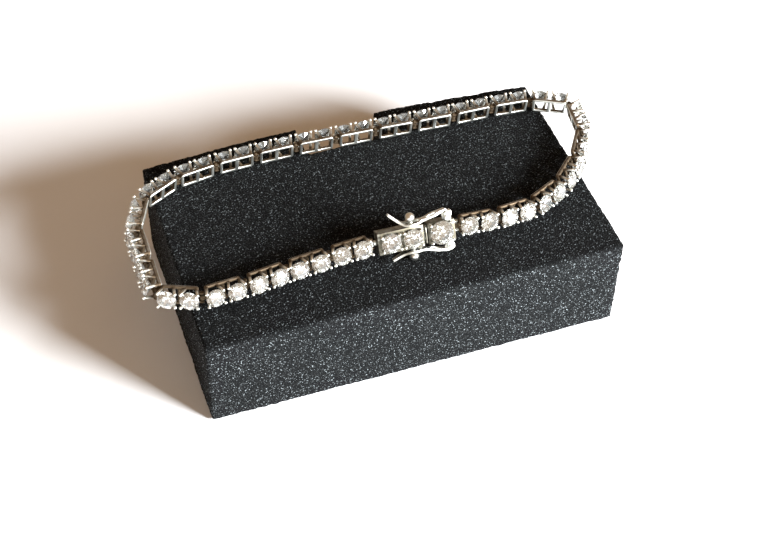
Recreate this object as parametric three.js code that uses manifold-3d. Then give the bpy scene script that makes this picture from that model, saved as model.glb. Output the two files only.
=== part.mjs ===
// A line bracelet ("tennis bracelet") of double-stone links on a small foam block.
// Millimetres, +Z up. The origin is the middle of the foam block's underside,
// +X runs along the block and +Y to its notched back edge.
//
// Each link, and the clasp, is drawn in its own axes and then set in its place:
//   x  along the chain, with the next piece at +x
//   y  out from the skin side to the faces of the stones, with y = 0 on the hinge pins
//   z  across the bracelet, up when it stands on its edge
import * as THREE from 'three';
import { mergeVertices } from 'three/addons/utils/BufferGeometryUtils.js';
import Module from 'manifold-3d';

const wasm = await Module();
wasm.setup();

// ---- driving dimensions -------------------------------------------------------------------

// The foam's back edge bows out, and its notch is measured from the line of its back corners.
const FOAM = { length: 65.9, width: 39.4, height: 17.0, corner: 0.8, bow: 1.6, bowSteps: 5 };
const NOTCH = { left: -6.9, right: 6.1, depth: 4.7 };

const LINK_COUNT = 25;
const PITCH = 6.6;
const CLASP_LENGTH = 13.3;
const REST_GAP = 0.25;

// Base rail of a link: a flat frame with two windows, on the skin side.
const RAIL = { halfLength: 2.75, halfWidth: 1.45, bottom: -0.65, top: -0.05, wall: 0.42, corner: 0.35 };
const BAR_HALF = 0.28;

// Four claws to a stone stand in the rail and spread to its corners, measured from its axis.
const CLAW = {
  footX: 0.7, footZ: 1.2, footRadius: 0.2, sunk: 0.2,
  tipX: 1.29, tipZ: 1.12, tipY: 1.9, tipRadius: 0.22, sides: 4,
};

// Hinge of two links: a ring on one turns on a pin between the ears of the next.
const RING = { outer: 0.4, inner: 0.28, halfWidth: 0.4, armHalf: 0.2, armEnd: 0.31 };
const EAR = { radius: 0.35, inside: 0.55, outside: 0.85 };
const PIN = { radius: 0.17, half: 0.65 };
// The ring's arm and the ears start this far inside their own piece.
const HINGE_ROOT = 0.15;

// Round brilliants: girdle radius and heights of culet, girdle and table along y.
const LINK_STONE = { radius: 1.42, culet: 0.22, girdle: 1.42, band: 0.1, table: 1.9 };
const BOX_STONE = { radius: 1.5, culet: 0.62, girdle: 1.75, band: 0.12, table: 2.3 };
const END_STONE = { radius: 1.85, culet: 0.45, girdle: 1.75, band: 0.14, table: 2.4 };
const TABLE_SHARE = 0.58;
const STONE_OFFSET = PITCH / 4;
const STONE_SIDES = 8;
const SEAT_ROOM = 0.12;
const WEB = { halfWidth: 0.2, overlap: 0.2, underGirdle: 0.06 };

// Clasp: a box with two stones, and an end piece with one stone and the tongue.
const BOX = { left: -1.15, right: 5.95, halfWidth: 1.7, bottom: -0.65, top: 1.25 };
const BOX_STONES_X = [0.65, 4.05];
const SLOT = { depth: 6.0, halfWidth: 1.35, bottom: -0.35, top: 0.35 };
const END = { left: -6.05, right: -1.85, halfWidth: 1.6, bottom: -0.65, top: 1.35 };
const END_STONE_X = -3.85;
const TONGUE = { tip: 4.1, halfWidth: 1.12, bottom: -0.15, top: 0.15, sunk: 0.1 };
const TAB = { x: -1.5, half: 0.1, halfWidth: 1.3, top: 1.45 };
const BEAD = { radius: 0.28, top: 2.2, sunk: 0.3, sides: 6 };
const BOX_BEADS = { inset: 0.3, z: 1.2 };
const END_BEADS = { offset: 1.81, z: 1.3 };

// Safety catches: a sprung strip on each side, hinged on the end piece, over a ball on the box.
const PIVOT = { x: -5.05, y: 0.7, z: 2.6, pin: 0.3, hole: 0.4, outer: 0.85, halfHeight: 0.48 };
const HINGE_EAR = { inside: 0.6, outside: 0.85, radius: 0.5, sunk: 0.3 };
const HINGE_PIN = { inset: 0.05, proud: 0.12 };
const PEG = { x: 0.55, stem: 0.28, ball: 0.75, z: 3.05, sunk: 0.2 };
const STRIP_THICKNESS = 0.45;

// Line of a catch along the side wall, from its hinge to the start of its thumb tail.
const CATCH_LINE = [
  { x: -3.4, z: 2.85 },
  { x: -1.2, z: 2.28 },
  { x: 0.1, z: 2.1 },
  { x: 1.2, z: 2.12 },
];
const TAIL = { bendX: 2.0, bendShare: 0.2, endX: 3.9, upperZ: 4.2, lowerZ: 3.1 };

// The catch seen on its flat: narrow at the hinge, an eye over the ball, a thumb tail.
const CATCH_PLAN = [
  { x: -5.2, half: 0.46 },
  { x: -4.2, half: 0.46 },
  { x: -3.3, half: 0.78 },
  { x: -2.3, half: 0.72 },
  { x: -1.4, half: 0.52 },
  { x: -0.5, half: 1.05 },
  { x: 0.1, half: 1.22 },
  { x: 1.2, half: 1.22 },
  { x: 1.9, half: 0.85 },
  { x: 2.6, half: 0.5 },
  { x: 4.4, half: 0.42 },
];
const CATCH_EYES = [
  { x: -2.85, halfLength: 0.75, halfWidth: 0.4 },
  { x: PEG.x, halfLength: 1.1, halfWidth: 0.9 },
];

// How finely round shapes are cut into flats.
const ROUND_FLATS = 12;
const SMALL_ARC_STEPS = 4;
const BALL = { around: 10, rings: 7 };
const STEM_SIDES = 8;

// Cutting shapes run this far past what they cut.
const PAST = 1;
const MERGE_WITHIN = 1e-4;

// ---- where the bracelet runs --------------------------------------------------------------

// Line of the hinge pins seen from above, from the clasp's left end round the back.
const ROUTE = [
  { x: -4.6, y: -10.1 },
  { x: -17.8, y: -10.1 },
  { x: -30.2, y: -11.3 },
  { x: -36.2, y: -9.4 },
  { x: -36.5, y: -2.3 },
  { x: -35.5, y: 8.3 },
  { x: -28.9, y: 13.0 },
  { x: -15.2, y: 14.6 },
  { x: -1.9, y: 14.5 },
  { x: 17.7, y: 13.7 },
  { x: 31.0, y: 13.0 },
  { x: 36.6, y: 9.6 },
  { x: 35.3, y: 3.6 },
  { x: 28.2, y: -5.4 },
  { x: 20.4, y: -9.4 },
  { x: 8.7, y: -10.4 },
];
const ROUTE_STEPS = 4000;
const ROUTE_SCALE = { low: 0.95, high: 1.05, halvings: 40 };
const FRONT_Y = -12;
const BACK_Y = 14;

// The stones' axes tilt up from level, more at the front and most at the clasp.
const LEAN = { front: 20, back: 10, clasp: 27 };
// The clasp stands on its lower catch, so the chain climbs to it from both sides.
const CLASP_X = 2.1;
const CLIMB = { height: 1.4, flat: 6, reach: 22 };

function claspShare(x) {
  const distance = Math.abs(x - CLASP_X);
  return 1 - THREE.MathUtils.smoothstep(distance, CLIMB.flat, CLIMB.reach);
}

function leanAt(x, y) {
  const toFront = THREE.MathUtils.clamp((BACK_Y - y) / (BACK_Y - FRONT_Y), 0, 1);
  const plain = THREE.MathUtils.lerp(LEAN.back, LEAN.front, toFront);
  const share = y < 0 ? claspShare(x) : 0;
  return THREE.MathUtils.degToRad(THREE.MathUtils.lerp(plain, LEAN.clasp, share));
}

function restHeight(x, y) {
  const lean = leanAt(x, y);
  const standing = -RAIL.bottom * Math.sin(lean) + RAIL.halfWidth * Math.cos(lean);
  const climb = y < 0 ? CLIMB.height * claspShare(x) : 0;
  return FOAM.height + REST_GAP + standing + climb;
}

function routePoints(scale) {
  const corners = ROUTE.map((p) => new THREE.Vector3(p.x * scale, p.y * scale, 0));
  const points = new THREE.CatmullRomCurve3(corners, true, 'centripetal').getPoints(ROUTE_STEPS);
  points.forEach((p) => { p.z = restHeight(p.x, p.y); });
  return points;
}

// Steps links of one pitch along the route, and returns the hinge points.
function stepLinks(points) {
  const hinges = [points[0].clone()];
  let i = 0;
  while (hinges.length <= LINK_COUNT && i < points.length - 1) {
    const last = hinges[hinges.length - 1];
    const a = points[i];
    const b = points[i + 1];
    if (last.distanceTo(b) < PITCH) {
      i += 1;
      continue;
    }
    const near = last.distanceTo(a);
    const far = last.distanceTo(b);
    hinges.push(a.clone().lerp(b, (PITCH - near) / (far - near)));
  }
  return hinges;
}

// Finds the route's scale at which the space left for the clasp has its true length.
function closedChain() {
  let { low, high } = ROUTE_SCALE;
  for (let k = 0; k < ROUTE_SCALE.halvings; k += 1) {
    const scale = (low + high) / 2;
    const hinges = stepLinks(routePoints(scale));
    const end = hinges[LINK_COUNT];
    const room = end ? end.distanceTo(hinges[0]) : 0;
    if (hinges.length <= LINK_COUNT || (room < CLASP_LENGTH && end.x > hinges[0].x)) low = scale;
    else high = scale;
  }
  return stepLinks(routePoints(high));
}

// Frame of a piece that runs from one hinge point to the next.
function frameBetween(from, to) {
  const along = to.clone().sub(from).normalize();
  const middle = from.clone().add(to).multiplyScalar(0.5);
  const level = new THREE.Vector3(-along.y, along.x, 0).normalize();
  const outward = level.multiplyScalar(level.dot(middle.clone().setZ(0)) < 0 ? -1 : 1);
  const across = along.clone().cross(outward).normalize();
  const lean = leanAt(middle.x, middle.y);
  const up = across.z > 0 ? across : across.clone().negate();
  const stoneAxis = outward.multiplyScalar(Math.cos(lean)).addScaledVector(up, Math.sin(lean));
  const width = along.clone().cross(stoneAxis);
  return new THREE.Matrix4().makeBasis(along, stoneAxis, width).setPosition(middle);
}

// ---- solids -------------------------------------------------------------------------------

function solidOf(geometry) {
  const bare = geometry.clone();
  bare.deleteAttribute('normal');
  bare.deleteAttribute('uv');
  const merged = mergeVertices(bare, MERGE_WITHIN);
  const corners = merged.index.array;
  const kept = [];
  for (let i = 0; i < corners.length; i += 3) {
    const [a, b, c] = [corners[i], corners[i + 1], corners[i + 2]];
    if (a !== b && b !== c && c !== a) kept.push(a, b, c);
  }
  return new wasm.Manifold(new wasm.Mesh({
    numProp: 3,
    vertProperties: new Float32Array(merged.attributes.position.array),
    triVerts: new Uint32Array(kept),
  }));
}

function geometryOf(solid) {
  const mesh = solid.getMesh();
  const geometry = new THREE.BufferGeometry();
  geometry.setAttribute('position', new THREE.BufferAttribute(new Float32Array(mesh.vertProperties), 3));
  geometry.setIndex(new THREE.BufferAttribute(new Uint32Array(mesh.triVerts), 1));
  geometry.computeVertexNormals();
  return geometry;
}

function join(solids) {
  return solids.reduce((whole, next) => whole.add(next));
}

function block(x0, x1, y0, y1, z0, z1) {
  const geometry = new THREE.BoxGeometry(x1 - x0, y1 - y0, z1 - z0);
  geometry.translate((x0 + x1) / 2, (y0 + y1) / 2, (z0 + z1) / 2);
  return solidOf(geometry);
}

// A full turn is cut into twice as many flats as curveSegments.
function extruded(shape, depth, curveSegments = SMALL_ARC_STEPS) {
  return new THREE.ExtrudeGeometry(shape, { depth, bevelEnabled: false, curveSegments });
}

// A shape drawn in x and z, from y0 to y1.
function slabAlongY(shape, y0, y1) {
  const geometry = extruded(shape, y1 - y0, ROUND_FLATS / 2);
  geometry.rotateX(Math.PI / 2);
  geometry.translate(0, y1, 0);
  return solidOf(geometry);
}

// A shape drawn in x and y, from z0 to z1.
function slabAlongZ(shape, z0, z1) {
  const geometry = extruded(shape, z1 - z0);
  geometry.translate(0, 0, z0);
  return solidOf(geometry);
}

function post(foot, tip, footRadius, tipRadius, sides) {
  const span = tip.clone().sub(foot);
  const geometry = new THREE.CylinderGeometry(tipRadius, footRadius, span.length(), sides);
  const turn = new THREE.Quaternion().setFromUnitVectors(new THREE.Vector3(0, 1, 0), span.normalize());
  geometry.applyQuaternion(turn);
  const middle = foot.clone().add(tip).multiplyScalar(0.5);
  geometry.translate(middle.x, middle.y, middle.z);
  return solidOf(geometry);
}

function cutCornerOutline(halfLength, halfWidth, corner) {
  const shape = new THREE.Shape();
  shape.moveTo(halfLength, -halfWidth + corner);
  shape.lineTo(halfLength, halfWidth - corner);
  shape.lineTo(halfLength - corner, halfWidth);
  shape.lineTo(-halfLength + corner, halfWidth);
  shape.lineTo(-halfLength, halfWidth - corner);
  shape.lineTo(-halfLength, -halfWidth + corner);
  shape.lineTo(-halfLength + corner, -halfWidth);
  shape.lineTo(halfLength - corner, -halfWidth);
  return shape;
}

function disc(x, y, radius) {
  const shape = new THREE.Shape();
  shape.absarc(x, y, radius, 0, Math.PI * 2, false);
  return shape;
}

function annulus(x, y, outer, inner) {
  const shape = disc(x, y, outer);
  const hole = new THREE.Path();
  hole.absarc(x, y, inner, 0, Math.PI * 2, true);
  shape.holes.push(hole);
  return shape;
}

// ---- hinge halves that every link and the clasp share --------------------------------------

function hingeRing(endX, bodyX) {
  const arm = block(bodyX - HINGE_ROOT, endX - RING.armEnd, -RING.armHalf, RING.armHalf,
    -RING.halfWidth, RING.halfWidth);
  const ring = slabAlongZ(annulus(endX, 0, RING.outer, RING.inner), -RING.halfWidth, RING.halfWidth);
  return arm.add(ring);
}

function earOutline(endX, bodyX) {
  const shape = new THREE.Shape();
  shape.moveTo(bodyX + HINGE_ROOT, -EAR.radius);
  shape.lineTo(bodyX + HINGE_ROOT, EAR.radius);
  shape.lineTo(endX, EAR.radius);
  shape.absarc(endX, 0, EAR.radius, Math.PI / 2, Math.PI * 1.5, false);
  return shape;
}

function hingeEars(endX, bodyX) {
  const outline = earOutline(endX, bodyX);
  return join([
    slabAlongZ(outline, EAR.inside, EAR.outside),
    slabAlongZ(outline, -EAR.outside, -EAR.inside),
    slabAlongZ(disc(endX, 0, PIN.radius), -PIN.half, PIN.half),
  ]);
}

// ---- a double-stone link -------------------------------------------------------------------

function baseRail() {
  const shape = cutCornerOutline(RAIL.halfLength, RAIL.halfWidth, RAIL.corner);
  const windowEnd = RAIL.halfLength - RAIL.wall;
  const windowHalf = RAIL.halfWidth - RAIL.wall;
  const low = RAIL.bottom - PAST;
  const high = RAIL.top + PAST;
  return slabAlongY(shape, RAIL.bottom, RAIL.top)
    .subtract(block(BAR_HALF, windowEnd, low, high, -windowHalf, windowHalf))
    .subtract(block(-windowEnd, -BAR_HALF, low, high, -windowHalf, windowHalf));
}

function stoneClaws(x) {
  const claws = [];
  for (const end of [-1, 1]) {
    for (const side of [-1, 1]) {
      const foot = new THREE.Vector3(x + end * CLAW.footX, RAIL.top - CLAW.sunk, side * CLAW.footZ);
      const tip = new THREE.Vector3(x + end * CLAW.tipX, CLAW.tipY, side * CLAW.tipZ);
      claws.push(post(foot, tip, CLAW.footRadius, CLAW.tipRadius, CLAW.sides));
    }
  }
  return claws;
}

function linkMetal() {
  return join([
    baseRail(),
    ...stoneClaws(-STONE_OFFSET),
    ...stoneClaws(STONE_OFFSET),
    hingeRing(PITCH / 2, RAIL.halfLength),
    hingeEars(-PITCH / 2, -RAIL.halfLength),
  ]);
}

// ---- stones ---------------------------------------------------------------------------------

function brilliant(stone, x) {
  const tableRadius = stone.radius * TABLE_SHARE;
  const profile = [
    new THREE.Vector2(0, stone.culet),
    new THREE.Vector2(stone.radius, stone.girdle),
    new THREE.Vector2(stone.radius, stone.girdle + stone.band),
    new THREE.Vector2(tableRadius, stone.table),
    new THREE.Vector2(0, stone.table),
  ];
  const geometry = new THREE.LatheGeometry(profile, STONE_SIDES, Math.PI / 2);
  geometry.translate(x, 0, 0);
  return solidOf(geometry);
}

// Two stones set girdle to girdle, bridged under the claws that they share.
function stonePair(stone, x0, x1) {
  const inner0 = x0 + stone.radius - WEB.overlap;
  const inner1 = x1 - stone.radius + WEB.overlap;
  const web = block(inner0, inner1, stone.girdle - WEB.underGirdle, stone.girdle + stone.band,
    -WEB.halfWidth, WEB.halfWidth);
  return join([brilliant(stone, x0), brilliant(stone, x1), web]);
}

function stoneSeat(stone, x) {
  const radius = stone.radius + SEAT_ROOM;
  const rim = stone.girdle;
  const geometry = new THREE.LatheGeometry([
    new THREE.Vector2(0, stone.culet - SEAT_ROOM),
    new THREE.Vector2(radius, rim),
    new THREE.Vector2(radius, rim + PAST),
    new THREE.Vector2(0, rim + PAST),
  ], ROUND_FLATS);
  geometry.translate(x, 0, 0);
  return solidOf(geometry);
}

// ---- clasp -----------------------------------------------------------------------------------

function beads(xs, z, fromY) {
  const solids = [];
  for (const x of xs) {
    for (const side of [-1, 1]) {
      const foot = new THREE.Vector3(x, fromY, side * z);
      const tip = new THREE.Vector3(x, BEAD.top, side * z);
      solids.push(post(foot, tip, BEAD.radius, BEAD.radius, BEAD.sides));
    }
  }
  return solids;
}

function ballPeg(side) {
  const foot = new THREE.Vector3(PEG.x, PIVOT.y, side * (BOX.halfWidth - PEG.sunk));
  const tip = new THREE.Vector3(PEG.x, PIVOT.y, side * PEG.z);
  const ball = new THREE.SphereGeometry(PEG.ball, BALL.around, BALL.rings);
  ball.translate(tip.x, tip.y, tip.z);
  return post(foot, tip, PEG.stem, PEG.stem, STEM_SIDES).add(solidOf(ball));
}

function claspBox() {
  const shell = block(BOX.left, BOX.right, BOX.bottom, BOX.top, -BOX.halfWidth, BOX.halfWidth);
  const slot = block(BOX.left - PAST, BOX.left + SLOT.depth, SLOT.bottom, SLOT.top,
    -SLOT.halfWidth, SLOT.halfWidth);
  const seats = BOX_STONES_X.map((x) => stoneSeat(BOX_STONE, x));
  const middle = (BOX_STONES_X[0] + BOX_STONES_X[1]) / 2;
  const beadsX = [BOX.left + BOX_BEADS.inset, middle, BOX.right - BOX_BEADS.inset];
  const hollow = [slot, ...seats].reduce((body, cut) => body.subtract(cut), shell);
  return join([
    hollow,
    ...beads(beadsX, BOX_BEADS.z, BOX.top - BEAD.sunk),
    ballPeg(1),
    ballPeg(-1),
    hingeRing(CLASP_LENGTH / 2, BOX.right),
  ]);
}

// Two ears and a pin on a side wall, for the ring of a safety catch.
function catchHinge(side) {
  const plate = (y0, y1) => {
    const wall = END.halfWidth - HINGE_EAR.sunk;
    const stalk = block(PIVOT.x - HINGE_EAR.radius, PIVOT.x + HINGE_EAR.radius, y0, y1,
      Math.min(side * wall, side * PIVOT.z), Math.max(side * wall, side * PIVOT.z));
    return stalk.add(slabAlongY(disc(PIVOT.x, side * PIVOT.z, HINGE_EAR.radius), y0, y1));
  };
  const low = PIVOT.y - HINGE_EAR.outside;
  const high = PIVOT.y + HINGE_EAR.outside;
  return join([
    plate(low, PIVOT.y - HINGE_EAR.inside),
    plate(PIVOT.y + HINGE_EAR.inside, high),
    slabAlongY(disc(PIVOT.x, side * PIVOT.z, PIVOT.pin), low + HINGE_PIN.inset, high + HINGE_PIN.proud),
  ]);
}

function claspEnd() {
  const shell = block(END.left, END.right, END.bottom, END.top, -END.halfWidth, END.halfWidth);
  const beadsX = [END_STONE_X - END_BEADS.offset, END_STONE_X + END_BEADS.offset];
  return join([
    shell.subtract(stoneSeat(END_STONE, END_STONE_X)),
    ...beads(beadsX, END_BEADS.z, END.top - BEAD.sunk),
    block(END.right - TONGUE.sunk, TONGUE.tip, TONGUE.bottom, TONGUE.top,
      -TONGUE.halfWidth, TONGUE.halfWidth),
    block(TAB.x - TAB.half, TAB.x + TAB.half, TONGUE.bottom, TAB.top, -TAB.halfWidth, TAB.halfWidth),
    catchHinge(1),
    catchHinge(-1),
    hingeEars(-CLASP_LENGTH / 2, END.left),
  ]);
}

// ---- safety catches ----------------------------------------------------------------------------

// Strip of even thickness along a line of points, as a closed outline.
function stripOutline(points, thickness) {
  const left = [];
  const right = [];
  points.forEach((point, i) => {
    const before = points[Math.max(i - 1, 0)];
    const after = points[Math.min(i + 1, points.length - 1)];
    const along = after.clone().sub(before).normalize();
    const offset = new THREE.Vector2(-along.y, along.x).multiplyScalar(thickness / 2);
    left.push(point.clone().add(offset));
    right.unshift(point.clone().sub(offset));
  });
  return new THREE.Shape([...left, ...right]);
}

function catchPlan() {
  const top = CATCH_PLAN.map((p) => new THREE.Vector2(p.x, PIVOT.y + p.half));
  const under = CATCH_PLAN.map((p) => new THREE.Vector2(p.x, PIVOT.y - p.half)).reverse();
  const shape = new THREE.Shape([...top, ...under].reverse());
  CATCH_EYES.forEach((eye) => {
    const hole = new THREE.Path();
    hole.absellipse(eye.x, PIVOT.y, eye.halfLength, eye.halfWidth, 0, Math.PI * 2, true, 0);
    shape.holes.push(hole);
  });
  return shape;
}

function safetyCatch(side, tailZ) {
  const ringLine = PIVOT.z + (PIVOT.outer + PIVOT.hole) / 2;
  const wallZ = CATCH_LINE[CATCH_LINE.length - 1].z;
  const line = [
    { x: PIVOT.x, z: ringLine },
    ...CATCH_LINE,
    { x: TAIL.bendX, z: THREE.MathUtils.lerp(wallZ, tailZ, TAIL.bendShare) },
    { x: TAIL.endX, z: tailZ },
  ].map((p) => new THREE.Vector2(p.x, side * p.z));
  const outline = stripOutline(side > 0 ? line : line.reverse(), STRIP_THICKNESS);
  const widest = Math.max(...CATCH_PLAN.map((p) => p.half)) + PAST;
  const low = PIVOT.y - widest;
  const high = PIVOT.y + widest;
  const reach = TAIL.upperZ + PAST;
  const strip = slabAlongY(outline, low, high).intersect(slabAlongZ(catchPlan(), -reach, reach));
  const ring = annulus(PIVOT.x, side * PIVOT.z, PIVOT.outer, PIVOT.hole);
  const bore = slabAlongY(disc(PIVOT.x, side * PIVOT.z, PIVOT.hole), low, high);
  const curl = slabAlongY(ring, PIVOT.y - PIVOT.halfHeight, PIVOT.y + PIVOT.halfHeight);
  return strip.subtract(bore).add(curl);
}

// ---- foam block ----------------------------------------------------------------------------------

// Points of the bowed back edge, from one x to another.
function backEdge(from, to) {
  const reach = FOAM.length / 2 - FOAM.corner;
  const points = [];
  for (let i = 0; i <= FOAM.bowSteps; i += 1) {
    const x = THREE.MathUtils.lerp(from, to, i / FOAM.bowSteps);
    points.push([x, FOAM.width / 2 + FOAM.bow * (1 - (x / reach) ** 2)]);
  }
  return points;
}

function foamBlock() {
  const halfLength = FOAM.length / 2;
  const halfWidth = FOAM.width / 2;
  const inner = halfWidth - NOTCH.depth;
  const cut = FOAM.corner;
  const outline = [
    [-halfLength + cut, -halfWidth],
    [halfLength - cut, -halfWidth],
    [halfLength, -halfWidth + cut],
    [halfLength, halfWidth - cut],
    ...backEdge(halfLength - cut, NOTCH.right),
    [NOTCH.right, inner],
    [NOTCH.left, inner],
    ...backEdge(NOTCH.left, -halfLength + cut),
    [-halfLength, halfWidth - cut],
    [-halfLength, -halfWidth + cut],
  ].map(([x, y]) => new THREE.Vector2(x, y));
  return extruded(new THREE.Shape(outline), FOAM.height);
}

// ---- assembly --------------------------------------------------------------------------------------

const metal = () => new THREE.MeshStandardMaterial({ color: 0xc9c6c1, roughness: 0.25, metalness: 1 });
const crystal = () => new THREE.MeshStandardMaterial({ color: 0xeef2f6, roughness: 0.05, metalness: 0 });
const foam = () => new THREE.MeshStandardMaterial({ color: 0x1d1f22, roughness: 0.95, metalness: 0 });

const bracelet = new THREE.Group();

function place(name, geometry, material, frame) {
  const mesh = new THREE.Mesh(geometry, material);
  mesh.name = name;
  if (frame) frame.decompose(mesh.position, mesh.quaternion, mesh.scale);
  bracelet.add(mesh);
}

const linkGeometry = geometryOf(linkMetal());
const pairGeometry = geometryOf(stonePair(LINK_STONE, -STONE_OFFSET, STONE_OFFSET));
const hinges = closedChain();

for (let i = 0; i < LINK_COUNT; i += 1) {
  const frame = frameBetween(hinges[i], hinges[i + 1]);
  const number = String(i + 1).padStart(2, '0');
  place(`link_${number}`, linkGeometry, metal(), frame);
  place(`stone_pair_${number}`, pairGeometry, crystal(), frame);
}

const claspFrame = frameBetween(hinges[LINK_COUNT], hinges[0]);
place('clasp_box', geometryOf(claspBox()), metal(), claspFrame);
place('clasp_tongue_end', geometryOf(claspEnd()), metal(), claspFrame);
place('clasp_box_stones', geometryOf(stonePair(BOX_STONE, ...BOX_STONES_X)), crystal(), claspFrame);
place('clasp_end_stone', geometryOf(brilliant(END_STONE, END_STONE_X)), crystal(), claspFrame);
place('upper_safety_catch', geometryOf(safetyCatch(1, TAIL.upperZ)), metal(), claspFrame);
place('lower_safety_catch', geometryOf(safetyCatch(-1, TAIL.lowerZ)), metal(), claspFrame);
place('foam_block', foamBlock(), foam());

export default bracelet;
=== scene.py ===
import math
import random

import bmesh
import bpy
import numpy as np
from mathutils import Matrix, Vector


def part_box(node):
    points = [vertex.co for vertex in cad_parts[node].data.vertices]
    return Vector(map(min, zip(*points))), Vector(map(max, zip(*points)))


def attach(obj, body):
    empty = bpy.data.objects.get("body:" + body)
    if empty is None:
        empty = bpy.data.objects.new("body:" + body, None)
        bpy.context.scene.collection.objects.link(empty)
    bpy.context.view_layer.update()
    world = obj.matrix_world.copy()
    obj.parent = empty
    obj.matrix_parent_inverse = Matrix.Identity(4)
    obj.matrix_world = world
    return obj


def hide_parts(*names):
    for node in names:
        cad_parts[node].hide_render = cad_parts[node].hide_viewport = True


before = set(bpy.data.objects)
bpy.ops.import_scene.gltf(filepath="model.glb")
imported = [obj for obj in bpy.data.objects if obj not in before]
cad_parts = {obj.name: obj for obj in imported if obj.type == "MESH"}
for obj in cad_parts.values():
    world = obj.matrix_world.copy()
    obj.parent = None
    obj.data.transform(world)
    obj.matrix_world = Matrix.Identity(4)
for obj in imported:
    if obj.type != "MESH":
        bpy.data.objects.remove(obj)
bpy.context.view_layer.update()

# A line bracelet of double-stone links, closed by a box clasp with two safety catches,
# standing on its edge on a foam block.
#
# The metal and the stones are drawn in millimetres in the axes of their own link or clasp,
# and then set where the frame has that piece:
#   x  along the chain, with the next piece at +x
#   y  out from the skin side to the faces of the stones, with y = 0 on the hinge pins
#   z  across the bracelet, up as it stands

MM = 0.001
LINKS = 25
PITCH = 6.6
CLASP_LENGTH = 13.3
SEED = 25

# ---- sizes of the pieces, in millimetres ---------------------------------------------------

RAIL = {"half_length": 2.75, "half_width": 1.45, "bottom": -0.65, "top": -0.05,
        "wall": 0.42, "bar_half": 0.28, "corner": 0.38}
LINK_STONE = {"radius": 1.42, "girdle": 1.42, "culet": 0.22}
STONE_X = PITCH / 4
CLAW = {"foot_x": 0.72, "foot_z": 1.24, "width": 0.46, "thickness": 0.3}
BEAD = {"x": 1.24, "y": 1.66, "z": 1.06, "radius": 0.25}

BARREL = {"radius": 0.4, "half": 0.4, "arm": 0.2}
EAR = {"radius": 0.35, "inside": 0.55, "outside": 0.85}
PIN = {"radius": 0.17, "half": 0.92}

BOX = {"left": -1.15, "right": 5.95, "half_width": 1.7, "bottom": -0.65, "top": 1.25}
BOX_STONES = [{"x": 0.65, "radius": 1.5}, {"x": 4.05, "radius": 1.5}]
BOX_CULET = 0.62
SLOT = {"depth": 6.0, "half_width": 1.35, "half_height": 0.35}
END = {"left": -6.05, "right": -1.85, "half_width": 1.6, "bottom": -0.65, "top": 1.35}
END_STONES = [{"x": -3.85, "radius": 1.85}]
CLASP_GIRDLE = 1.75
TONGUE = {"tip": 4.1, "half_width": 1.12, "half_height": 0.15}
TAB = {"x": -1.5, "half": 0.1, "half_width": 1.3, "top": 1.45}

PIVOT = {"x": -5.05, "y": 0.7, "z": 2.6, "pin": 0.3}
CATCH_PIN = {"below": 0.95, "above": 0.97}
SUNK = 0.15
HINGE_EAR = {"inside": 0.6, "outside": 0.85, "radius": 0.5}
PEG = {"x": 0.55, "z": 3.05, "ball": 0.75, "waist": 0.6}

# ---- modelling by hand ---------------------------------------------------------------------


def fresh():
    """Leaves nothing selected, so that an operator changes only what is added next."""
    bpy.ops.object.select_all(action="DESELECT")


def settle(name):
    """Names the new primitive and puts its place, turn and size into its mesh."""
    piece = bpy.context.object
    piece.name = name
    bpy.ops.object.transform_apply(location=True, rotation=True, scale=True)
    return piece


def add_block(name, low, high):
    fresh()
    middle = [(a + b) / 2 for a, b in zip(low, high)]
    bpy.ops.mesh.primitive_cube_add(size=1, location=middle)
    bpy.context.object.scale = [b - a for a, b in zip(low, high)]
    return settle(name)


def add_rod(name, foot, tip, foot_radius, tip_radius, sides):
    """A round rod, or a tapered one, from one point to another."""
    fresh()
    foot = Vector(foot)
    span = Vector(tip) - foot
    turn = span.to_track_quat("Z", "Y").to_euler()
    bpy.ops.mesh.primitive_cone_add(vertices=sides, radius1=foot_radius, radius2=tip_radius,
                                    depth=span.length, location=foot + span / 2, rotation=turn)
    return settle(name)


def add_ball(name, middle, radius, segments, rings):
    fresh()
    bpy.ops.mesh.primitive_uv_sphere_add(radius=radius, segments=segments, ring_count=rings,
                                         location=middle)
    return settle(name)


def join(name, pieces):
    fresh()
    for piece in pieces:
        piece.select_set(True)
    bpy.context.view_layer.objects.active = pieces[0]
    bpy.ops.object.join()
    whole = bpy.context.object
    whole.name = name
    whole.data.name = name
    return whole


def open_mesh(piece, kind="FACE"):
    """Goes into edit mode on one piece."""
    fresh()
    piece.select_set(True)
    bpy.context.view_layer.objects.active = piece
    bpy.ops.object.mode_set(mode="EDIT")
    bpy.ops.mesh.select_mode(type=kind)
    bpy.ops.mesh.select_all(action="SELECT")


def close_mesh():
    bpy.ops.object.mode_set(mode="OBJECT")


def pick(piece, test, kind="FACE"):
    """Selects the faces, edges or corners whose middle passes a test."""
    bpy.ops.mesh.select_mode(type=kind)
    bpy.ops.mesh.select_all(action="DESELECT")
    mesh = bmesh.from_edit_mesh(piece.data)
    if kind == "FACE":
        for face in mesh.faces:
            face.select_set(test(face.calc_center_median()))
    elif kind == "EDGE":
        for edge in mesh.edges:
            edge.select_set(test((edge.verts[0].co + edge.verts[1].co) / 2))
    else:
        for corner in mesh.verts:
            corner.select_set(test(corner.co))
    mesh.select_flush_mode()
    bmesh.update_edit_mesh(piece.data)


def slice_at(axis, place, keep_all=True):
    """Cuts the open mesh across one of its axes."""
    bpy.ops.mesh.select_all(action="SELECT")
    point = [0, 0, 0]
    point[axis] = place
    normal = [0, 0, 0]
    normal[axis] = 1
    bpy.ops.mesh.bisect(plane_co=point, plane_no=normal, clear_outer=not keep_all)


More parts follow.
